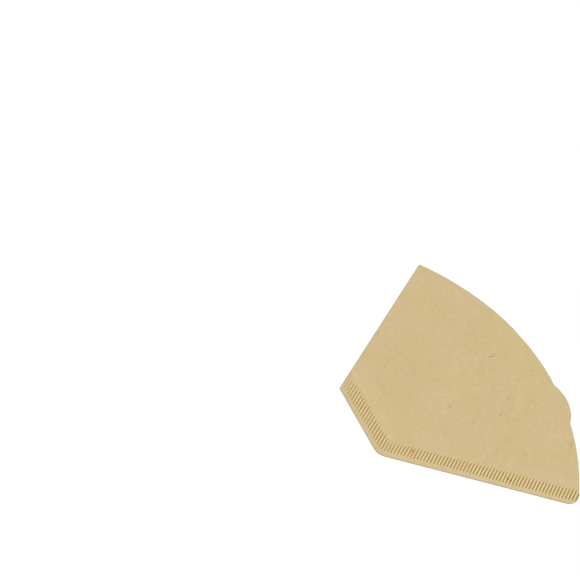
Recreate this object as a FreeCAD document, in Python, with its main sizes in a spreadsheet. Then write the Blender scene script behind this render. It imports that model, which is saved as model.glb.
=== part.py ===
"""Paper coffee filter, lying flat as it leaves the pack.

One die-cut sheet of kraft filter paper is folded once along a slanting edge, so that two equal
layers lie on each other. One crimped seam joins them: it runs along the short bottom edge, round a
bend and up the other slanting edge. The wide curved edge, with its small thumb tab, stays open.

While it is drawn, the bottom edge lies on the X axis and is centred on the origin, +Y points to the
open mouth and the fold is at -X. The finished filter is then set down with its origin at the middle
of its footprint, on the surface that it lies on.
"""
import FreeCAD, Part
import Sketcher
import math
import os

Vector = FreeCAD.Vector
doc = FreeCAD.newDocument("paper_coffee_filter")

# Driving dimensions, in millimetres and degrees. A lean is measured from the centre line, and an
# inset or margin is measured square to the edge that it follows.
SIZES = {
    "bottom_width": 43.7,
    "fold_length": 94.5,
    "fold_lean": 40.3,
    "seam_length": 93.5,
    "seam_lean": 40.8,
    "mouth_rise": 25.6,
    "bend_radius": 8.5,
    "mouth_corner_radius": 4.5,
    "tab_place": 28.2,
    "tab_width": 24.0,
    "tab_rise": 3.1,
    "tab_root_radius": 2.0,
    "paper_thickness": 0.2,
    "layer_gap": 0.2,
    "crimp_margin": 2.5,
    "crimp_width": 5.8,
    "crimp_bend_radius": 6.0,
    "crimp_inner_radius": 2.0,
    "crimp_start": 1.1,
    "crimp_pitch": 1.55,
    "crimp_flat": 0.35,
    "crimp_rise": 0.15,
    "press_strip": 0.3,
}

# What follows from them. Grooves are cut into both faces of the seam, half a pitch apart, so that
# the two pressed layers are left as one wave.
DERIVED = {
    "fold_angle": "90 + fold_lean",
    "seam_angle": "90 - seam_lean",
    "sheet_height": "2 * paper_thickness + layer_gap",
    "crimp_height": "sheet_height + crimp_rise",
    "pressed_height": "2 * paper_thickness",
    "groove_depth": "crimp_height - pressed_height",
    "groove_width": "crimp_pitch - crimp_flat",
    "top_groove_start": "crimp_start + crimp_flat / 2",
    "under_groove_start": "top_groove_start + crimp_pitch / 2",
    "tooth_count": "ceil(crimped_run / crimp_pitch)",
    "crimped_run": "(bottom_width + seam_length * sin(seam_lean)) * cos(fold_lean)"
                   " + seam_length * cos(seam_lean) * sin(fold_lean)",
    "fold_radius": "0.49 * sheet_height",
    "slit_inset": "crimp_margin - press_strip",
    "slit_bend_radius": "crimp_bend_radius + press_strip",
    "crimp_inner_inset": "crimp_margin + crimp_width",
    "pouch_inset": "crimp_inner_inset + press_strip",
    "past_mouth": "fold_length + seam_length",
    "reach": "3 * past_mouth",
}

sheet = doc.addObject("Spreadsheet::Sheet", "sizes")
cells = {alias: str(number) for alias, number in SIZES.items()}
cells.update({alias: "=" + formula for alias, formula in DERIVED.items()})
for row, alias in enumerate(cells, start=1):
    sheet.set(f"A{row}", alias)
    sheet.setAlias(f"B{row}", alias)
for row, content in enumerate(cells.values(), start=1):
    sheet.set(f"B{row}", content)
doc.recompute()


def size(alias):
    """The number in the sheet's cell of that name."""
    return float(getattr(sheet, alias))


def direction(alias):
    """The unit vector at an angle from +X that a cell holds."""
    angle = math.radians(size(alias))
    return Vector(math.cos(angle), math.sin(angle))


def bind(thing, path, alias):
    """Tie one property of an object to a cell of the sheet."""
    thing.setExpression(path, f"{sheet.Name}.{alias}")


# Corners of the outline, where its edges would meet without their roundings, and the two arcs of
# the mouth. Every curve is first drawn at its true place, and its constraints then hold it there.
fold_foot = Vector(-size("bottom_width") / 2, 0)
seam_foot = Vector(size("bottom_width") / 2, 0)
fold_top = fold_foot + direction("fold_angle") * size("fold_length")
seam_top = seam_foot + direction("seam_angle") * size("seam_length")
mouth_middle = (fold_top + seam_top) / 2
mouth_chord = seam_top - fold_top
mouth_up = Vector(-mouth_chord.y, mouth_chord.x).normalize()
mouth_radius = (mouth_chord.Length ** 2 / 4 + size("mouth_rise") ** 2) / (2 * size("mouth_rise"))
mouth_centre = mouth_middle + mouth_up * (size("mouth_rise") - mouth_radius)
tab_distance = math.sqrt(mouth_radius ** 2 - size("tab_width") ** 2 / 4)
tab_across = size("tab_place") - mouth_centre.x
tab_up = Vector(tab_across, math.sqrt(tab_distance ** 2 - tab_across ** 2)).normalize()
tab_middle = mouth_centre + tab_up * tab_distance
tab_right = tab_middle + Vector(tab_up.y, -tab_up.x) * size("tab_width") / 2
tab_left = tab_middle - Vector(tab_up.y, -tab_up.x) * size("tab_width") / 2


def origin_plane(body, role):
    """One of the body's own origin planes."""
    return next(plane for plane in body.Origin.OriginFeatures if plane.Role == role)


def new_sketch(body, name, role, level=None):
    """A sketch on one of the body's origin planes, or above it at the height that a cell gives."""
    sketch = body.newObject("Sketcher::SketchObject", name)
    sketch.AttachmentSupport = (origin_plane(body, role), [""])
    sketch.MapMode = "FlatFace"
    if level:
        bind(sketch, "AttachmentOffset.Base.z", level)
    return sketch


def line(sketch, start, end, helper=False):
    """Draw a straight line, and return its number."""
    return sketch.addGeometry(Part.LineSegment(start, end), helper)


def rule(sketch, kind, *references):
    """Add a geometric constraint."""
    return sketch.addConstraint(Sketcher.Constraint(kind, *references))


def dimension(sketch, alias, kind, *references):
    """Add a dimension, and tie it to a cell of the sheet."""
    value = math.radians(size(alias)) if kind == "Angle" else size(alias)
    number = rule(sketch, kind, *references, value)
    bind(sketch, f"Constraints[{number}]", alias)


def draw_crown(sketch, start, end, arc, alias):
    """Let an arc rise by a driving dimension over the straight line between two drawn points."""
    foot, head = sketch.getPoint(*start), sketch.getPoint(*end)
    chord = line(sketch, foot, head, helper=True)
    up = Vector(foot.y - head.y, head.x - foot.x).normalize() * size(alias)
    crown = line(sketch, (foot + head) / 2, (foot + head) / 2 + up, helper=True)
    rule(sketch, "Coincident", chord, 1, *start)
    rule(sketch, "Coincident", chord, 2, *end)
    rule(sketch, "Symmetric", chord, 1, chord, 2, crown, 1)
    rule(sketch, "Perpendicular", chord, crown)
    rule(sketch, "PointOnObject", crown, 2, arc)
    dimension(sketch, alias, "Distance", crown)
    return chord, crown


def mouth_arc(start, end):
    """The stretch of the mouth's curve between two of its points."""
    middle = mouth_centre + ((start + end) / 2 - mouth_centre).normalize() * mouth_radius
    return Part.Arc(start, middle, end)


def draw_straight_edges(sketch, helper):
    """The fold and the seam's edge, which stand on the two ends of the bottom edge."""
    fold = line(sketch, fold_foot, fold_top, helper)
    seam = line(sketch, seam_foot, seam_top, helper)
    rule(sketch, "PointOnObject", seam, 1, -1)
    rule(sketch, "Symmetric", fold, 1, seam, 1, -1, 1)
    dimension(sketch, "bottom_width", "DistanceX", fold, 1, seam, 1)
    dimension(sketch, "fold_angle", "Angle", fold)
    dimension(sketch, "fold_length", "Distance", fold)
    dimension(sketch, "seam_angle", "Angle", seam)
    dimension(sketch, "seam_length", "Distance", seam)
    return fold, seam


def draw_outline(sketch):
    """The die-cut outline: fold, bottom edge, seam edge, and the mouth with its thumb tab."""
    fold, seam = draw_straight_edges(sketch, helper=False)
    bottom = line(sketch, fold_foot, seam_foot)
    mouth_right = sketch.addGeometry(mouth_arc(seam_top, tab_right))
    tab = sketch.addGeometry(Part.Arc(tab_right, tab_middle + tab_up * size("tab_rise"), tab_left))
    mouth_left = sketch.addGeometry(mouth_arc(tab_left, fold_top))
    rule(sketch, "Coincident", fold, 1, bottom, 1)
    rule(sketch, "Coincident", bottom, 2, seam, 1)
    rule(sketch, "Coincident", seam, 2, mouth_right, 1)
    rule(sketch, "Coincident", mouth_right, 2, tab, 1)
    rule(sketch, "Coincident", tab, 2, mouth_left, 1)
    rule(sketch, "Coincident", mouth_left, 2, fold, 2)
    rule(sketch, "Coincident", mouth_right, 3, mouth_left, 3)
    draw_crown(sketch, (fold, 2), (seam, 2), mouth_left, "mouth_rise")
    tab_chord, tab_crown = draw_crown(sketch, (tab, 2), (tab, 1), tab, "tab_rise")
    dimension(sketch, "tab_width", "Distance", tab_chord)
    dimension(sketch, "tab_place", "DistanceX", tab_crown, 1)


def beside_fold(inset, height):
    """The point at a height on the line that runs beside the fold at an inset."""
    along = direction("fold_angle")
    foot = fold_foot + Vector(along.y, -along.x) * size(inset)
    return foot + along * ((height - foot.y) / along.y)


def draw_seam_path(sketch, seam_edge, inset, bend_radius, start_inset):
    """A line beside the bottom edge, a bend, and a line beside the seam edge that passes the mouth.

    It starts on the line beside the fold at start_inset, and both its ends are returned.
    """
    away, radius, turn = size(inset), size(bend_radius), math.radians(size("seam_angle"))
    along = direction("seam_angle")
    corner = seam_foot + Vector(away * (along.x - 1) / along.y, away)
    tangent = radius * math.tan(turn / 2)
    bend_end = corner + along * tangent
    first = line(sketch, beside_fold(start_inset, away), corner - Vector(tangent, 0))
    circle = Part.Circle(corner + Vector(-tangent, radius), Vector(0, 0, 1), radius)
    bend = sketch.addGeometry(Part.ArcOfCircle(circle, -math.pi / 2, turn - math.pi / 2))
    last = line(sketch, bend_end, bend_end + along * ((size("past_mouth") - bend_end.y) / along.y))
    rule(sketch, "Tangent", first, 2, bend, 1)
    rule(sketch, "Tangent", bend, 2, last, 1)
    rule(sketch, "Horizontal", first)
    rule(sketch, "Parallel", seam_edge, last)
    dimension(sketch, inset, "DistanceY", first, 1)
    dimension(sketch, inset, "Distance", seam_edge, 1, last)
    dimension(sketch, bend_radius, "Radius", bend)
    dimension(sketch, "past_mouth", "DistanceY", last, 2)
    return (first, 1), (last, 2)


def draw_fold_side(sketch, fold_edge, inset, start, end):
    """Close a loop with a line beside the fold, from one drawn point to another or to a height."""
    foot = sketch.getPoint(*start)
    head = sketch.getPoint(*end) if isinstance(end, tuple) else beside_fold(inset, end)
    side = line(sketch, foot, head)
    rule(sketch, "Coincident", side, 1, *start)
    rule(sketch, "Parallel", side, fold_edge)
    dimension(sketch, inset, "Distance", fold_edge, 1, side)
    if isinstance(end, tuple):
        rule(sketch, "Coincident", side, 2, *end)
    return side, 2


def draw_level(sketch, start, end):
    """Close a loop with a level line between two drawn points."""
    level = line(sketch, sketch.getPoint(*start), sketch.getPoint(*end))
    rule(sketch, "Coincident", level, 1, *start)
    rule(sketch, "Coincident", level, 2, *end)
    return level


def draw_crimp_band(sketch):
    """The band that is crimped, from just inside the fold to past the mouth."""
    fold_edge, seam_edge = draw_straight_edges(sketch, helper=True)
    outer_start, outer_end = draw_seam_path(sketch, seam_edge, "crimp_margin", "crimp_bend_radius",
                                            "crimp_start")
    inner_start, inner_end = draw_seam_path(sketch, seam_edge, "crimp_inner_inset",
                                            "crimp_inner_radius", "crimp_start")
    draw_fold_side(sketch, fold_edge, "crimp_start", outer_start, inner_start)
    draw_level(sketch, outer_end, inner_end)


def draw_pouch(sketch, fold_edge, seam_edge):
    """The inside of the filter, from the fold to the crimped seam and out through the mouth."""
    start, end = draw_seam_path(sketch, seam_edge, "pouch_inset", "crimp_inner_radius",
                                "paper_thickness")
    side_end = draw_fold_side(sketch, fold_edge, "paper_thickness", start, size("past_mouth"))
    rule(sketch, "Horizontal", draw_level(sketch, side_end, end))


def draw_loose_margin(sketch, fold_edge, seam_edge):
    """The margin outside the crimp, where the two layers only lie on each other."""
    reach = size("reach")
    start, end = draw_seam_path(sketch, seam_edge, "slit_inset", "slit_bend_radius",
                                "paper_thickness")
    side_end = draw_fold_side(sketch, fold_edge, "paper_thickness", start, -reach)
    outside = line(sketch, Vector(reach, -reach), Vector(reach, size("past_mouth")))
    rule(sketch, "Vertical", outside)
    dimension(sketch, "reach", "DistanceX", outside, 1)
    dimension(sketch, "reach", "DistanceY", outside, 1, -1, 1)
    rule(sketch, "Horizontal", draw_level(sketch, side_end, (outside, 1)))
    rule(sketch, "Horizontal", draw_level(sketch, (outside, 2), end))


def draw_surround(sketch):
    """A square that is well clear of the whole filter."""
    reach = size("reach")
    right = line(sketch, Vector(reach, -reach), Vector(reach, reach))
    left = line(sketch, Vector(-reach, reach), Vector(-reach, -reach))
    rule(sketch, "Symmetric", right, 1, left, 1, -1, 1)
    rule(sketch, "Symmetric", right, 2, left, 2, -1, 1)
    rule(sketch, "Vertical", right)
    dimension(sketch, "reach", "DistanceX", right, 2)
    dimension(sketch, "reach", "DistanceY", right, 2)
    draw_level(sketch, (right, 2), (left, 1))
    draw_level(sketch, (left, 2), (right, 1))


def draw_groove(sketch, start, mouth_level, floor_level):
    """The section of one groove across the crimp, which narrows from its mouth to its floor."""
    left = size(start)
    slope = (size("groove_width") - size("crimp_flat")) / 2
    mouth = size(mouth_level) if mouth_level else 0
    floor = size(floor_level)
    near = line(sketch, Vector(left, mouth), Vector(left + slope, floor))
    far = line(sketch, Vector(left + slope + size("crimp_flat"), floor),
               Vector(left + size("groove_width"), mouth))
    bottom = draw_level(sketch, (near, 2), (far, 1))
    top = draw_level(sketch, (far, 2), (near, 1))
    rule(sketch, "Horizontal", bottom)
    rule(sketch, "Horizontal", top)
    rule(sketch, "Equal", near, far)
    dimension(sketch, "crimp_flat", "Distance", bottom)
    dimension(sketch, "groove_width", "Distance", top)
    dimension(sketch, start, "DistanceX", near, 1)
    dimension(sketch, floor_level, "DistanceY", near, 2)
    if mouth_level:
        dimension(sketch, mouth_level, "DistanceY", near, 1)
    else:
        rule(sketch, "PointOnObject", near, 1, -1)


def edges_at(feature, places):
    """Names of the upright edges of a feature that stand on the given points of the plan."""
    def stands_on(edge, place):
        return all(math.hypot(end.X - place.x, end.Y - place.y) < 1e-3 for end in edge.Vertexes)

    return [f"Edge{number}" for number, edge in enumerate(feature.Shape.Edges, start=1)
            if any(stands_on(edge, place) for place in places)]


def edges_along(feature, foot, along, shortest):
    """Names of the level edges of a feature that lie over one line of the plan."""
    def lies_on(end):
        offset = Vector(end.X, end.Y) - foot
        return offset.cross(along).Length < 1e-3

    return [f"Edge{number}" for number, edge in enumerate(feature.Shape.Edges, start=1)
            if edge.Length > shortest and all(lies_on(end) for end in edge.Vertexes)]


def round_edges(body, name, names, radius):
    """A fillet on named edges of the body's last feature."""
    fillet = body.newObject("PartDesign::Fillet", name)
    fillet.Base = (fillet.BaseFeature, names)
    bind(fillet, "Radius", radius)
    doc.recompute()
    return fillet


def extrude(body, kind, name, sketch, length):
    """A pad, or a pocket that cuts upwards, of one sketch."""
    feature = body.newObject(f"PartDesign::{kind}", name)
    feature.Profile = sketch
    feature.Reversed = kind == "Pocket"
    bind(feature, "Length", length)
    doc.recompute()
    return feature


# The folded sheet: cut to its outline as tall as the crimps, and lowered beside the crimped band.
folded_sheet = doc.addObject("PartDesign::Body", "folded_sheet")
outline = new_sketch(folded_sheet, "outline", "XY_Plane")
draw_outline(outline)
feature = extrude(folded_sheet, "Pad", "blank", outline, "crimp_height")
feature = round_edges(folded_sheet, "seam_bend", edges_at(feature, [seam_foot]), "bend_radius")
feature = round_edges(folded_sheet, "mouth_corner", edges_at(feature, [seam_top]), "mouth_corner_radius")
feature = round_edges(folded_sheet, "tab_roots", edges_at(feature, [tab_left, tab_right]),
                      "tab_root_radius")
beside_crimp = new_sketch(folded_sheet, "beside_crimp", "XY_Plane", "sheet_height")
draw_surround(beside_crimp)
draw_crimp_band(beside_crimp)
feature = extrude(folded_sheet, "Pocket", "lowered", beside_crimp, "crimp_rise")

# The fold is a full round, and the layers part between it and the seam, and outside the seam.
long_edges = edges_along(feature, fold_foot, direction("fold_angle"), size("fold_length") / 2)
feature = round_edges(folded_sheet, "fold", long_edges, "fold_radius")
between_layers = new_sketch(folded_sheet, "between_layers", "XY_Plane", "paper_thickness")
helpers = draw_straight_edges(between_layers, helper=True)
draw_pouch(between_layers, *helpers)
draw_loose_margin(between_layers, *helpers)
extrude(folded_sheet, "Pocket", "parted", between_layers, "layer_gap")

# The crimp: grooves that run parallel to the fold, from above and from below by turns.
crimp_band = doc.addObject("PartDesign::Body", "crimp_band")
band_outline = new_sketch(crimp_band, "band_outline", "XY_Plane")
draw_crimp_band(band_outline)
extrude(crimp_band, "Pad", "band", band_outline, "crimp_height")

grooves = doc.addObject("PartDesign::Body", "grooves")
groove_section = new_sketch(grooves, "groove_section", "XZ_Plane")
groove_section.AttachmentOffset = FreeCAD.Placement(fold_foot, FreeCAD.Rotation(Vector(0, 1, 0), 1))
bind(groove_section, "AttachmentOffset.Rotation.Angle", "fold_lean")
draw_groove(groove_section, "top_groove_start", "crimp_height", "pressed_height")
draw_groove(groove_section, "under_groove_start", None, "groove_depth")
groove_pair = extrude(grooves, "Pad", "groove_pair", groove_section, "past_mouth")
groove_pair.SideType = "Symmetric"
groove_row = grooves.newObject("PartDesign::LinearPattern", "groove_row")
groove_row.Originals = [groove_pair]
groove_row.Direction = (groove_section, ["H_Axis"])
groove_row.Mode = "Spacing"
bind(groove_row, "Offset", "crimp_pitch")
bind(groove_row, "Occurrences", "tooth_count")
grooves.Tip = groove_row
doc.recompute()

crimp_grooves = doc.addObject("Part::Common", "crimp_grooves")
crimp_grooves.Base = grooves
crimp_grooves.Tool = crimp_band
filter_paper = doc.addObject("Part::Cut", "filter_paper")
filter_paper.Base = folded_sheet
filter_paper.Tool = crimp_grooves
doc.recompute()

# Set down with the origin at the middle of the footprint.
footprint = filter_paper.Shape.optimalBoundingBox(False)
filter_paper.Placement = FreeCAD.Placement(Vector(-footprint.Center.x, -footprint.Center.y, 0),
                                           FreeCAD.Rotation())
filter_paper.Label = "filter_paper"
doc.recompute()

for thing in doc.Objects:
    if "Invalid" in thing.State or "Error" in thing.State:
        raise RuntimeError(f"{thing.Label} failed: {thing.State}")
shape = filter_paper.Shape
if shape.isNull() or not shape.isValid() or len(shape.Solids) != 1:
    raise RuntimeError("the filter is not one valid solid")
os.makedirs("parts", exist_ok=True)
shape.exportStep(f"parts/{filter_paper.Label}.step")
print(f"{filter_paper.Label}: {shape.Volume:.0f} mm3, {len(shape.Faces)} faces, box {shape.BoundBox}")
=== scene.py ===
import math

import bpy
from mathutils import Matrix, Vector, noise


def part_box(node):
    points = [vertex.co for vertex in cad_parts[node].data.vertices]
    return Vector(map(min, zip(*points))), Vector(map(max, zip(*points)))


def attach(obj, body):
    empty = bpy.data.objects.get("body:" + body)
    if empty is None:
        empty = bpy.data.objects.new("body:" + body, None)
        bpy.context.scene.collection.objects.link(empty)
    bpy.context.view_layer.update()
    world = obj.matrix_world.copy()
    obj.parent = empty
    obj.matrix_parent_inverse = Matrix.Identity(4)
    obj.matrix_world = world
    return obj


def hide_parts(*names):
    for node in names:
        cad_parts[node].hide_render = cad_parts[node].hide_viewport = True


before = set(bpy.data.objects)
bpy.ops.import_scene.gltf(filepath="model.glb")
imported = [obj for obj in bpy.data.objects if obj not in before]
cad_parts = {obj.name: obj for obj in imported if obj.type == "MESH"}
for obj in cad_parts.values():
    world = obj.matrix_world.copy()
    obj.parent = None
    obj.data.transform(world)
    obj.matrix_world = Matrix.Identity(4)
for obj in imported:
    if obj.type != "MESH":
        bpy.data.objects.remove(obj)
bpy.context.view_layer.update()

bpy.ops.object.select_all(action="DESELECT")

# The sheet of filter paper.
# It is unbleached kraft paper, 0.2 mm thick, die-cut to its outline and folded once along a slanting
# edge into two equal layers. A crimp then presses the layers together along the bottom and the seam.
mm = 0.001
paper_thickness = 0.2 * mm
sheet_height = 0.6 * mm
fold_lean = math.radians(40.3)
seam_lean = math.radians(40.8)
bottom_width = 43.7 * mm
fold_length = 94.5 * mm
seam_length = 93.5 * mm
mouth_rise = 25.6 * mm
bend_radius = 8.5 * mm
bend_tightening = 0.83
tightest_bend = 2 * mm
corner_radius = 4.5 * mm
tab_place = 28.2 * mm
tab_width = 24.0 * mm
tab_rise = 3.1 * mm
tab_root = 0.2 * mm
crimp_start = 1.1 * mm
crimp_pitch = 1.55 * mm

# Its straight edges: the fold on the left, the bottom along X, and the seam on the right.
box_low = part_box("filter_paper")[0]
along_fold = Vector((-math.sin(fold_lean), math.cos(fold_lean)))
across = Vector((along_fold.y, -along_fold.x))
along_seam = Vector((math.sin(seam_lean), math.cos(seam_lean)))
from_seam = Vector((-along_seam.y, along_seam.x))
fold_foot = Vector((box_low.x + fold_length * math.sin(fold_lean), box_low.y))
seam_foot = fold_foot + Vector((bottom_width, 0))
fold_top = fold_foot + along_fold * fold_length
seam_top = seam_foot + along_seam * seam_length

# The mouth's arc, the thumb tab on it, and the rounded corner beside the seam.
chord = seam_top - fold_top
mouth_radius = (chord.length ** 2 / 4 + mouth_rise ** 2) / (2 * mouth_rise)
mouth_up = Vector((-chord.y, chord.x)).normalized()
mouth_centre = (fold_top + seam_top) / 2 + mouth_up * (mouth_rise - mouth_radius)
tab_distance = math.sqrt(mouth_radius ** 2 - tab_width ** 2 / 4)
tab_across = fold_foot.x + bottom_width / 2 + tab_place - mouth_centre.x
tab_up = Vector((tab_across, math.sqrt(tab_distance ** 2 - tab_across ** 2))).normalized()
tab_radius = (tab_width ** 2 / 4 + tab_rise ** 2) / (2 * tab_rise)
tab_centre = mouth_centre + tab_up * (tab_distance + tab_rise - tab_radius)
corner_foot = seam_foot + from_seam * corner_radius
corner_run = (mouth_centre - corner_foot).dot(along_seam)
corner_off = (mouth_centre - corner_foot).dot(from_seam)
corner_run += math.sqrt((mouth_radius - corner_radius) ** 2 - corner_off ** 2)
corner_centre = corner_foot + along_seam * corner_run
corner_out = (corner_centre - mouth_centre).normalized()
corner_at_seam = (corner_centre - from_seam * corner_radius - fold_foot).dot(across)
corner_at_mouth = (corner_centre + corner_out * corner_radius - fold_foot).dot(across)
sheet_width = (corner_centre - fold_foot).dot(across) + corner_radius


def smooth(value, start, end):
    """0 before start, 1 after end, and a soft step between them."""
    step = min(max((value - start) / (end - start), 0), 1)
    return step * step * (3 - 2 * step)


def beside_fold(point):
    """How far a point lies beside the fold, in plan."""
    return (point.to_2d() - fold_foot).dot(across)


def meet_circle(beside, centre, radius, side):
    """How far up the line at that distance beside the fold it enters or leaves a circle."""
    offset = fold_foot + across * beside - centre
    half = math.sqrt(max(radius ** 2 - offset.dot(across) ** 2, 0))
    return side * half - offset.dot(along_fold)


def seam_line(beside, inset):
    """How far up the line beside the fold it meets the seam's path, at an inset from the edge."""
    start = fold_foot + across * beside
    from_bottom = (inset - across.y * beside) / along_fold.y
    from_edge = (inset - (start - seam_foot).dot(from_seam)) / along_fold.dot(from_seam)
    place = max(from_bottom, from_edge)
    radius = max(bend_radius - bend_tightening * inset, tightest_bend)
    turn = math.pi / 2 - seam_lean
    corner = seam_foot + Vector((inset * (along_seam.x - 1) / along_seam.y, inset))
    centre = corner + Vector((-radius * math.tan(turn / 2), radius))
    point = start + along_fold * place
    if point.x > centre.x and (point - centre).dot(along_seam) < 0:
        place = meet_circle(beside, centre, radius, -1)
    return place


def seam_end(beside):
    """Where the line beside the fold starts, on the sheet's cut edge."""
    if beside > corner_at_seam:
        return meet_circle(beside, corner_centre, corner_radius, -1)
    return seam_line(beside, 0)


def mouth_end(beside):
    """Where the line beside the fold ends, on the mouth, its tab or its corner."""
    if beside > corner_at_mouth:
        return meet_circle(beside, corner_centre, corner_radius, 1)
    mouth = meet_circle(beside, mouth_centre, mouth_radius, 1)
    off_tab = (fold_foot + across * beside - tab_centre).dot(across)
    if abs(off_tab) > tab_radius:
        return mouth
    tab = meet_circle(beside, tab_centre, tab_radius, 1)
    nearness = max(tab_root - abs(mouth - tab), 0) / tab_root
    return max(mouth, tab) + nearness ** 2 * tab_root / 4


# One layer is a grid. Its lines run parallel to the fold, eight to a crimp, and crowd at the rounded
# corner. Its rows follow the crimped edge at these insets, in millimetres, and above them they spread
# evenly up to a narrow strip along the mouth.
fold_inset = sheet_height / 2
line_step = crimp_pitch / 8
lines_before_crimp = 3
corner_strip = 0.15 * mm
line_count = int((sheet_width - corner_strip - crimp_start) / line_step)
lines = [fold_inset]
lines += [crimp_start + number * line_step for number in range(-lines_before_crimp, line_count + 1)]
lines += [sheet_width - rest * mm for rest in (0.1, 0.05, 0.02, 0.005)]
row_insets = (0, 0.5, 1.2, 1.6, 2.0, 2.4, 2.8, 3.3, 4.2, 5.2, 6.2, 7.0, 7.5, 8.0, 8.5, 9.0, 9.6, 10.5, 12)
rows_above = 10
rows = len(row_insets) + rows_above
edge_strip = 0.4 * mm

bpy.ops.mesh.primitive_grid_add(x_subdivisions=len(lines) - 1, y_subdivisions=rows - 1, size=1)
sheet = bpy.context.object
sheet.name = "folded_filter"
inset_of = sheet.data.attributes.new("inset", "FLOAT", "POINT")
for vertex in sheet.data.vertices:
    beside = lines[round((vertex.co.x + 0.5) * (len(lines) - 1))]
    row = round((vertex.co.y + 0.5) * (rows - 1))
    first, last = seam_end(beside), mouth_end(beside)
    wanted = seam_line(beside, row_insets[min(row, len(row_insets) - 1)] * mm)
    place = min(max(wanted, first), last)
    if row == rows - 1:
        place = last
    elif row >= len(row_insets):
        row_above = row - len(row_insets) + 1
        place += max(last - edge_strip - place, 0) * row_above / (rows_above - 1)
    point = fold_foot + across * beside + along_fold * place
    vertex.co = (point.x, point.y, sheet_height - paper_thickness / 2)
    inset = (point - seam_foot).dot(from_seam)
    if row >= len(row_insets):
        inset = min(inset, point.y - box_low.y)
    elif place == wanted:
        inset = row_insets[row] * mm
    inset_of.data[vertex.index].value = inset

# The lower layer lies under the upper one, and the fold turns from one to the other.
merge_distance = 1e-7
fold_steps = 8
fold_axis = (*(fold_foot + across * fold_inset), sheet_height / 2)
bpy.ops.object.mode_set(mode="EDIT")
bpy.ops.mesh.select_mode(type="VERT")
bpy.ops.mesh.select_all(action="SELECT")
bpy.ops.mesh.remove_doubles(threshold=merge_distance)
bpy.ops.mesh.duplicate()
bpy.ops.transform.translate(value=(0, 0, paper_thickness - sheet_height))
bpy.ops.mesh.flip_normals()
bpy.ops.mesh.select_all(action="DESELECT")
bpy.ops.object.mode_set(mode="OBJECT")
for vertex in sheet.data.vertices:
    at_fold = abs(beside_fold(vertex.co) - fold_inset) < 10 * merge_distance
    vertex.select = at_fold and vertex.co.z > sheet_height / 2
bpy.ops.object.mode_set(mode="EDIT")
bpy.ops.mesh.spin(steps=fold_steps, angle=math.pi, center=fold_axis, axis=(*along_fold, 0))
bpy.ops.mesh.select_all(action="SELECT")
bpy.ops.mesh.remove_doubles(threshold=merge_distance)
bpy.ops.mesh.normals_make_consistent(inside=False)
bpy.ops.mesh.select_all(action="DESELECT")
bpy.ops.object.mode_set(mode="OBJECT")

# The crimp's wave is pressed into both layers at once by toothed wheels. Here and below, a distance
# across the sheet from the fold, or in from the crimped edge, is a plain number of millimetres, and a
# pair of them is where something starts and where it is complete.
crimp_depth = 0.185 * mm
drift_peak = 0.41
drift_peak_at = 54
drift_reach = 62
tooth_wander = 0.04
tooth_unevenness = 0.3
first_tooth = (0.3, 1.3)
full_strength = (1, 7)
strength_at_fold = 0.4
strength_at_bottom = 0.83
seam_begins = (42, 56)
seam_gain = 0.16
far_end = (75, 100)
far_end_gain = 0.20
bend = (28, 46)
seam_run = 65
shift_after_bend = 0.78
shift_lost = 0.5
outer_end = (1.6, 2.4)
inner_end = 7.8
inner_fade = (-0.8, 0.7)
inner_unevenness = 0.4
tail_strength = 0.10
tail_start = (0.5, 2.2)
tail_length = 4


def tooth_at(across_sheet):
    """The number of the tooth there, with its fraction. The pitch drifts a little along the sheet."""
    drift = drift_peak - ((across_sheet - drift_peak_at) / drift_reach) ** 2
    return (across_sheet - crimp_start / mm - drift) / (crimp_pitch / mm)


def press_strength(tooth, across_sheet):
    """How hard the wheels pressed: softly beside the fold, and hardest at the seam's far end."""
    strength = 1 + tooth_unevenness * noise.noise((tooth * 0.9, 0.5, 7))
    at_fold = strength_at_fold + (1 - strength_at_fold) * smooth(across_sheet, *full_strength)
    strength *= smooth(across_sheet, *first_tooth) * at_fold
    strength *= (strength_at_bottom + seam_gain * smooth(across_sheet, *seam_begins)
                 + far_end_gain * smooth(across_sheet, *far_end))
    return strength


def off_crimp_edge(across_sheet, inset):
    """The inset less the crimp's own shift, because past the bend it lies further in."""
    shift = shift_after_bend - shift_lost * (across_sheet - bend[1]) / seam_run
    return inset - smooth(across_sheet, *bend) * shift


def crimp_cover(off_edge, inner):
    """1 on the crimp's band and 0 off it, with a faint tail of each groove on both sides."""
    band = smooth(off_edge, *outer_end)
    band *= 1 - smooth(off_edge, inner + inner_fade[0], inner + inner_fade[1])
    tail = tail_strength * smooth(off_edge, *tail_start)
    return max(band, tail * (1 - smooth(off_edge, inner, inner + tail_length)))


# The seam is pressed flat. Off it the pouch swells a little, and the layers' cut edges are slack.
pressed_gap = 0.12 * mm
pressed_lift = 0.19 * mm
lift_from_edge = (0, 2.4)
press_from_fold = (0.3, 2)
press_from_edge = (0.3, 1.9)
press_at_edge = 0.7
press_gain = 0.3
press_ends = (8.5, 11)
swell_from_edge = (8, 40)
swell_from_fold = (1, 45)
swell_height = 0.25
swell_variation = 0.35
ripple_length = 28
slack_ends = (0, 1.8)
slack_from_fold = (0.5, 6)
slack_height = 0.06 * mm
slack_length = 7


def pressed_flat(across_sheet, inset):
    """1 where the seam is pressed, a little less at its cut edge, and 0 in the pouch."""
    at_edge = press_at_edge + press_gain * smooth(inset, *press_from_edge)
    pressed = smooth(across_sheet, *press_from_fold) * at_edge
    return pressed * (1 - smooth(inset, *press_ends))


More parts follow.
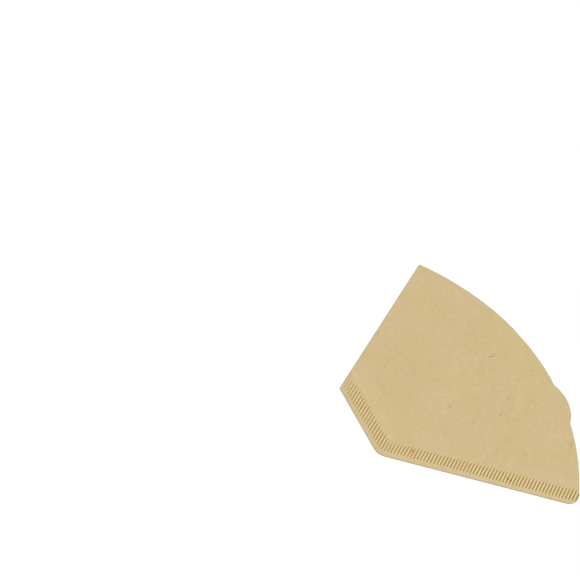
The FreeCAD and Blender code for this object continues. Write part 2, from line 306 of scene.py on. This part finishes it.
def pouch_rise(point, across_sheet, inset):
    """How far the upper layer stands off: the pouch's swell, and its cut edge's slack."""
    swell = smooth(inset, *swell_from_edge) * smooth(across_sheet, *swell_from_fold)
    ripple = noise.noise((point.x / mm / ripple_length, point.y / mm / ripple_length, 2))
    loft = (swell_height + swell_variation * ripple) * mm * swell
    slack = slack_height * (1 - smooth(inset, *slack_ends)) * smooth(across_sheet, *slack_from_fold)
    slack *= 1 + noise.noise((across_sheet / slack_length, 0, 9))
    return loft + slack


# The fold was spun straight, so its ends first move onto the outline. The gap between the layers widens
# where the wave is steep, so that they never cross. The attributes carry where the paper was pressed at
# its rim, and where the material paints light and shade: painted shade in the wave's grooves, a painted
# highlight on its ridges, and painted shade along the cut edges.
inset_of = sheet.data.attributes["inset"]
crimp_shading_of = sheet.data.attributes.new("crimp_shading", "FLOAT", "POINT")
rim_of = sheet.data.attributes.new("rim", "FLOAT", "POINT")
cut_edge_shade_of = sheet.data.attributes.new("cut", "FLOAT", "POINT")
layer_height = (sheet_height - paper_thickness) / 2
fold_start, fold_end = seam_line(fold_inset, 0), mouth_end(fold_inset)
# The share of the painted shade at the cut edge that the seam gets, against the mouth's full amount.
seam_cut_shade = 0.15
rim_ends = (1.5, 2.4)
rolled_rim = 0.45
rolled_length = 1
rolled_ends = (11, 18)
for vertex in sheet.data.vertices:
    beside = beside_fold(vertex.co)
    place = (vertex.co.to_2d() - fold_foot).dot(along_fold)
    if beside < fold_inset - merge_distance:
        share = (place - fold_start) / (fold_end - fold_start)
        place += (seam_line(beside, 0) - fold_start) * (1 - share)
        place += (mouth_end(beside) - fold_end) * share
        vertex.co.xy = fold_foot + across * beside + along_fold * place
    # Painted shade along the cut edges: full at the mouth, and a little at the seam.
    off_mouth = smooth((mouth_end(beside) - place) / edge_strip, 0, 1)
    off_seam = smooth((place - seam_end(beside)) / edge_strip, 0, 1)
    cut_edge_shade_of.data[vertex.index].value = max(1 - off_mouth, seam_cut_shade * (1 - off_seam))

    across_sheet = beside / mm
    inset = inset_of.data[vertex.index].value / mm
    tooth = tooth_at(across_sheet)
    wander = tooth_wander * noise.noise((tooth * 0.7, inset / 3, 3))
    phase = 2 * math.pi * (tooth + wander)
    wave = math.cos(phase)
    off_edge = off_crimp_edge(across_sheet, inset)
    inner = inner_end + inner_unevenness * noise.noise((tooth * 0.8, 5, 1))
    depth = crimp_depth * press_strength(tooth, across_sheet) * crimp_cover(off_edge, inner)
    steepness = depth * 2 * math.pi / crimp_pitch * math.sin(phase)
    pressed = pressed_flat(across_sheet, inset)
    level = (vertex.co.z - sheet_height / 2) / layer_height
    half = layer_height * (1 - pressed) + pressed_gap * pressed
    half *= math.sqrt(1 + steepness ** 2)
    lift = pressed_lift * pressed * smooth(inset, *lift_from_edge)
    rise = pouch_rise(vertex.co, across_sheet, inset) * (level + 1) / 2
    vertex.co.z = sheet_height / 2 + lift + level * half + depth * wave + rise
    # Painted shade in the wave's grooves and a painted highlight on its crests, on each face.
    crimp_shading_of.data[vertex.index].value = -wave * level * depth / crimp_depth
    rolled = rolled_rim * smooth(off_edge, inner, inner + rolled_length)
    rolled *= 1 - smooth(off_edge, *rolled_ends)
    rim_of.data[vertex.index].value = 1 - smooth(off_edge, *rim_ends) + rolled

bpy.ops.object.modifier_add(type="SOLIDIFY")
sheet.modifiers[-1].thickness = paper_thickness
sheet.modifiers[-1].offset = 0
sheet.modifiers[-1].use_even_offset = True
bpy.ops.object.modifier_apply(modifier=sheet.modifiers[-1].name)
bpy.ops.object.shade_smooth_by_angle(angle=math.radians(45))

# Kraft filter paper: cloudy, with short fibres and a few dark shives, with a painted highlight on the
# crimp's ridges and painted shade in its grooves and along the cut edges.
olive_patch = (0.617, 0.480, 0.236, 1)
rose_patch = (0.631, 0.485, 0.264, 1)
thin_place = (0.53, 0.38, 0.17, 1)
dense_place = (0.71, 0.58, 0.35, 1)
pale_fibre = (0.74, 0.61, 0.385, 1)
dark_fibre = (0.48, 0.34, 0.15, 1)
shive_brown = (0.26, 0.16, 0.06, 1)
scuff_brown = (0.30, 0.15, 0.045, 1)
rim_pale = (0.72, 0.58, 0.37, 1)
# Painted shade for the crimp's grooves and a painted highlight for its ridges.
groove_painted_shade = (0.415, 0.276, 0.064, 1)
ridge_painted_highlight = (0.86, 0.70, 0.38, 1)
# Painted shade along the cut edges.
cut_edge_painted_shade = (0.36, 0.31, 0.19, 1)

kraft = bpy.data.materials.new("kraft_filter_paper")
kraft.use_nodes = True
nodes, links = kraft.node_tree.nodes, kraft.node_tree.links
paper = nodes["Principled BSDF"]
paper.inputs["Roughness"].default_value = 0.9
paper.inputs["Specular IOR Level"].default_value = 0.25
on_sheet = nodes.new("ShaderNodeTexCoord")
in_mm = nodes.new("ShaderNodeMapping")
in_mm.inputs["Scale"].default_value = (1000, 1000, 1000)
links.new(on_sheet.outputs["Object"], in_mm.inputs["Vector"])


def cloud(name, scale, detail, roughness=0.5, stretch=None, turn=0, warp=0):
    """A noise pattern of the paper, in features per millimetre, which may be drawn out one way."""
    pattern = nodes.new("ShaderNodeTexNoise")
    pattern.label = name
    pattern.inputs["Scale"].default_value = scale
    pattern.inputs["Detail"].default_value = detail
    pattern.inputs["Roughness"].default_value = roughness
    pattern.inputs["Distortion"].default_value = warp
    source = in_mm
    if stretch:
        source = nodes.new("ShaderNodeMapping")
        source.inputs["Rotation"].default_value = (0, 0, math.radians(turn))
        source.inputs["Scale"].default_value = (1 / stretch, 1, 1)
        links.new(in_mm.outputs["Vector"], source.inputs["Vector"])
    links.new(source.outputs["Vector"], pattern.inputs["Vector"])
    return pattern.outputs["Fac"]


def ramp(name, value, low_at, high_at, low_to, high_to):
    """The value remapped between two levels, with a soft step."""
    step = nodes.new("ShaderNodeMapRange")
    step.label = name
    step.interpolation_type = "SMOOTHSTEP"
    step.inputs["From Min"].default_value = low_at
    step.inputs["From Max"].default_value = high_at
    step.inputs["To Min"].default_value = low_to
    step.inputs["To Max"].default_value = high_to
    links.new(value, step.inputs["Value"])
    return step.outputs["Result"]


def tint(name, amount, under, colour):
    """Lay a colour over what is under it, by an amount that varies."""
    layer = nodes.new("ShaderNodeMix")
    layer.label = name
    layer.data_type = "RGBA"
    links.new(amount, layer.inputs["Factor"])
    if isinstance(under, tuple):
        layer.inputs["A"].default_value = under
    else:
        links.new(under, layer.inputs["A"])
    layer.inputs["B"].default_value = colour
    return layer.outputs["Result"]


def combine(kind, first, second):
    """A varying value joined by one sum to another, or to a plain number."""
    joint = nodes.new("ShaderNodeMath")
    joint.operation = kind
    links.new(first, joint.inputs[0])
    if isinstance(second, float):
        joint.inputs[1].default_value = second
    else:
        links.new(second, joint.inputs[1])
    return joint.outputs["Value"]


def carried(name):
    """A value that the mesh carries over its surface."""
    value = nodes.new("ShaderNodeAttribute")
    value.attribute_name = name
    return value.outputs["Fac"]


patches = cloud("warm and cool patches", 0.05, 2)
colour = tint("patches", ramp("patches", patches, 0.35, 0.65, 0, 1), olive_patch, rose_patch)
formation = cloud("cloudy formation", 0.45, 3, 0.6)
thin = ramp("thin places", formation, 0.35, 0.68, 0.10, 0)
colour = tint("thin places", thin, colour, thin_place)
dense = ramp("dense places", formation, 0.45, 0.75, 0, 0.22)
colour = tint("dense places", dense, colour, dense_place)
fibres = []
for number, turn in enumerate((8, 52, 97, 141), start=1):
    strand = cloud(f"fibres {number}", 3.2, 2, 0.5, stretch=7, turn=turn, warp=0.6)
    pale = ramp(f"pale fibres {number}", strand, 0.60, 0.72, 0, 0.28)
    dark = ramp(f"dark fibres {number}", strand, 0.28, 0.40, 0.26, 0)
    colour = tint("pale fibres", pale, colour, pale_fibre)
    colour = tint("dark fibres", dark, colour, dark_fibre)
    fibres.append(strand)

# Stray shives lie in some cells of a pattern: its cells per millimetre, stretch and turn, and the
# largest shive in it and how dark it is.
for name, scale, stretch, turn, largest, amount in (("short shives", 0.10, 0.45, 35, 0.022, 0.45),
                                                    ("crossing shives", 0.09, 0.5, -48, 0.020, 0.45),
                                                    ("fine specks", 0.30, 1, 0, 0.045, 0.30)):
    shives = nodes.new("ShaderNodeTexVoronoi")
    shives.label = name
    shives.voronoi_dimensions = "2D"
    shives.inputs["Scale"].default_value = scale
    drawn_out = nodes.new("ShaderNodeMapping")
    drawn_out.inputs["Rotation"].default_value = (0, 0, math.radians(turn))
    drawn_out.inputs["Scale"].default_value = (stretch, 1, 1)
    links.new(in_mm.outputs["Vector"], drawn_out.inputs["Vector"])
    links.new(drawn_out.outputs["Vector"], shives.inputs["Vector"])
    chance = nodes.new("ShaderNodeSeparateColor")
    links.new(shives.outputs["Color"], chance.inputs["Color"])
    size = ramp("which cells hold one", chance.outputs["Red"], 0.6, 1.0, 0, largest)
    in_shive = combine("LESS_THAN", shives.outputs["Distance"], size)
    colour = tint(name, combine("MULTIPLY", in_shive, amount), colour, shive_brown)

# The paler rim that the crimping tool pressed, and painted light and shade: painted shade in the crimp's
# grooves, a painted highlight on its ridges and painted shade along the cut edges.
colour = tint("pressed rim", combine("MULTIPLY", carried("rim"), 0.24), colour, rim_pale)
crimp_shading = carried("crimp_shading")
# Painted shade in the crimp's grooves.
colour = tint("painted shade in crimp grooves", ramp("grooves", crimp_shading, 0, 0.8, 0, 0.9), colour, groove_painted_shade)
# A painted highlight on the crimp's ridges.
colour = tint("painted highlight on crimp ridges", ramp("ridges", crimp_shading, -1.2, -0.5, 0.5, 0), colour, ridge_painted_highlight)
# Painted shade along the cut edges.
colour = tint("painted shade at cut edge", ramp("cut", carried("cut"), 0, 1, 0, 0.65), colour, cut_edge_painted_shade)


def fleck(x, y, turn, length, width):
    """A soft oval, 1 in its middle, placed in millimetres. It fades out towards the underside."""
    height = 0.9
    oval = nodes.new("ShaderNodeMapping")
    oval.vector_type = "TEXTURE"
    oval.inputs["Location"].default_value = (x, y, height)
    oval.inputs["Rotation"].default_value = (0, 0, math.radians(turn))
    oval.inputs["Scale"].default_value = (length / 2, width / 2, height)
    links.new(in_mm.outputs["Vector"], oval.inputs["Vector"])
    away = nodes.new("ShaderNodeVectorMath")
    away.operation = "LENGTH"
    links.new(oval.outputs["Vector"], away.inputs["Vector"])
    return ramp("fleck", away.outputs["Value"], 0.45, 1, 1, 0)


# Single flecks: the place, the turn, the length and width, and how dark each is.
for *oval, amount in ((10.3, -5.0, 150, 1.3, 1.0, 0.70),
                      (-10.4, 28.1, 93, 3.4, 0.9, 0.60),
                      (-11.1, 30.2, 132, 1.9, 0.7, 0.40),
                      (-11.2, 26.7, 175, 1.6, 0.6, 0.25),
                      (24.1, 14.7, 70, 1.3, 1.0, 0.65),
                      (-15.9, 22.4, 67, 1.5, 0.9, 0.45),
                      (-3.8, 11.6, 40, 1.3, 0.7, 0.30),
                      (-10.3, 17.0, 155, 1.6, 0.6, 0.25),
                      (-16.4, -25.9, 100, 1.3, 0.9, 0.40),
                      (-56.9, 14.3, 10, 1.4, 1.0, 0.30),
                      (35.8, 31.4, 150, 1.8, 0.6, 0.30),
                      (-37.1, 30.9, 60, 1.3, 0.7, 0.35),
                      (7.7, 25.1, -30, 1.6, 0.6, 0.30),
                      (22.6, 21.3, 30, 1.2, 0.7, 0.30),
                      (52.9, 36.5, -26, 2.3, 0.9, 0.45)):
    colour = tint("dark shive", combine("MULTIPLY", fleck(*oval), amount), colour, shive_brown)
for *oval, amount in ((58.5, 0.1, 155, 2.8, 1.1, 0.80),
                      (59.9, 1.0, 155, 2.2, 1.1, 0.90),
                      (27.6, -33.2, 130, 3.2, 1.0, 0.55)):
    colour = tint("brown scuff", combine("MULTIPLY", fleck(*oval), amount), colour, scuff_brown)
links.new(colour, paper.inputs["Base Color"])

# The felted surface: a fine grain, with the fibres standing up in it.
height = combine("MULTIPLY", cloud("grain", 7, 4, 0.65), 0.5)
for strand in fibres:
    height = combine("ADD", height, combine("MULTIPLY", strand, 0.35))
surface = nodes.new("ShaderNodeBump")
surface.inputs["Strength"].default_value = 0.6
surface.inputs["Distance"].default_value = 0.04 * mm
links.new(height, surface.inputs["Height"])
links.new(surface.outputs["Normal"], paper.inputs["Normal"])
sheet.data.materials.append(kraft)

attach(sheet, "root")
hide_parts("filter_paper")

# The white table top that it lies on.
# It is smooth and matt. The camera sees it half lit and half as plain white, so that it is white all
# over and still shows the soft shadow of the filter.
plain_white = 0.5
bpy.ops.mesh.primitive_plane_add(size=6)
table = bpy.context.object
table.name = "white_table"
white = bpy.data.materials.new("white_table_top")
white.use_nodes = True
nodes, links = white.node_tree.nodes, white.node_tree.links
top = nodes["Principled BSDF"]
top.inputs["Base Color"].default_value = (1, 1, 1, 1)
top.inputs["Roughness"].default_value = 0.9
top.inputs["Specular IOR Level"].default_value = 0.0
glow = nodes.new("ShaderNodeEmission")
glow.inputs["Color"].default_value = (1, 1, 1, 1)
glow.inputs["Strength"].default_value = 1
sight = nodes.new("ShaderNodeLightPath")
veil = nodes.new("ShaderNodeMath")
veil.operation = "MULTIPLY"
veil.inputs[1].default_value = plain_white
seen = nodes.new("ShaderNodeMixShader")
links.new(sight.outputs["Is Camera Ray"], veil.inputs[0])
links.new(veil.outputs["Value"], seen.inputs["Fac"])
links.new(top.outputs["BSDF"], seen.inputs[1])
links.new(glow.outputs["Emission"], seen.inputs[2])
links.new(seen.outputs["Shader"], nodes["Material Output"].inputs["Surface"])
table.data.materials.append(white)

# Soft studio light.
# A white room lights everything evenly, and one lamp, as broad as a large softbox looks from the
# table, stands behind the mouth on the seam's side. To the camera and in gloss the room is white.
room_light = 0.37
world = bpy.data.worlds.new("white_room")
bpy.context.scene.world = world
world.use_nodes = True
nodes, links = world.node_tree.nodes, world.node_tree.links
room = nodes["Background"]
room.inputs["Color"].default_value = (1, 1, 1, 1)
room.inputs["Strength"].default_value = room_light
backdrop = nodes.new("ShaderNodeBackground")
backdrop.inputs["Color"].default_value = (1, 1, 1, 1)
backdrop.inputs["Strength"].default_value = 1
sight = nodes.new("ShaderNodeLightPath")
either = sight.outputs["Is Camera Ray"]
for ray in ("Is Glossy Ray", "Is Transmission Ray"):
    larger = nodes.new("ShaderNodeMath")
    larger.operation = "MAXIMUM"
    links.new(either, larger.inputs[0])
    links.new(sight.outputs[ray], larger.inputs[1])
    either = larger.outputs["Value"]
seen = nodes.new("ShaderNodeMixShader")
links.new(either, seen.inputs["Fac"])
links.new(room.outputs["Background"], seen.inputs[1])
links.new(backdrop.outputs["Background"], seen.inputs[2])
links.new(seen.outputs["Shader"], nodes["World Output"].inputs["Surface"])

softbox_place = Vector((1.6, 1.4, 2.1))
bpy.ops.object.light_add(type="SUN", location=softbox_place,
                         rotation=softbox_place.to_track_quat("Z", "Y").to_euler())
softbox = bpy.context.object
softbox.name = "softbox"
softbox.data.angle = math.radians(19)
softbox.data.energy = 2.9

# The camera.
# It stands at the place that the filter's own straight and parallel lines give.
eye = Vector((0.41200, -0.25413, 0.56140))
aim = Vector((-0.09052, -0.04569, 0.0006))
bpy.ops.object.camera_add(location=eye, rotation=(eye - aim).to_track_quat("Z", "Y").to_euler())
camera = bpy.context.object
camera.data.lens = 94.84
camera.data.sensor_width = 36
camera.data.clip_start = 0.01
bpy.context.scene.camera = camera
bpy.context.scene.view_settings.view_transform = "Standard"
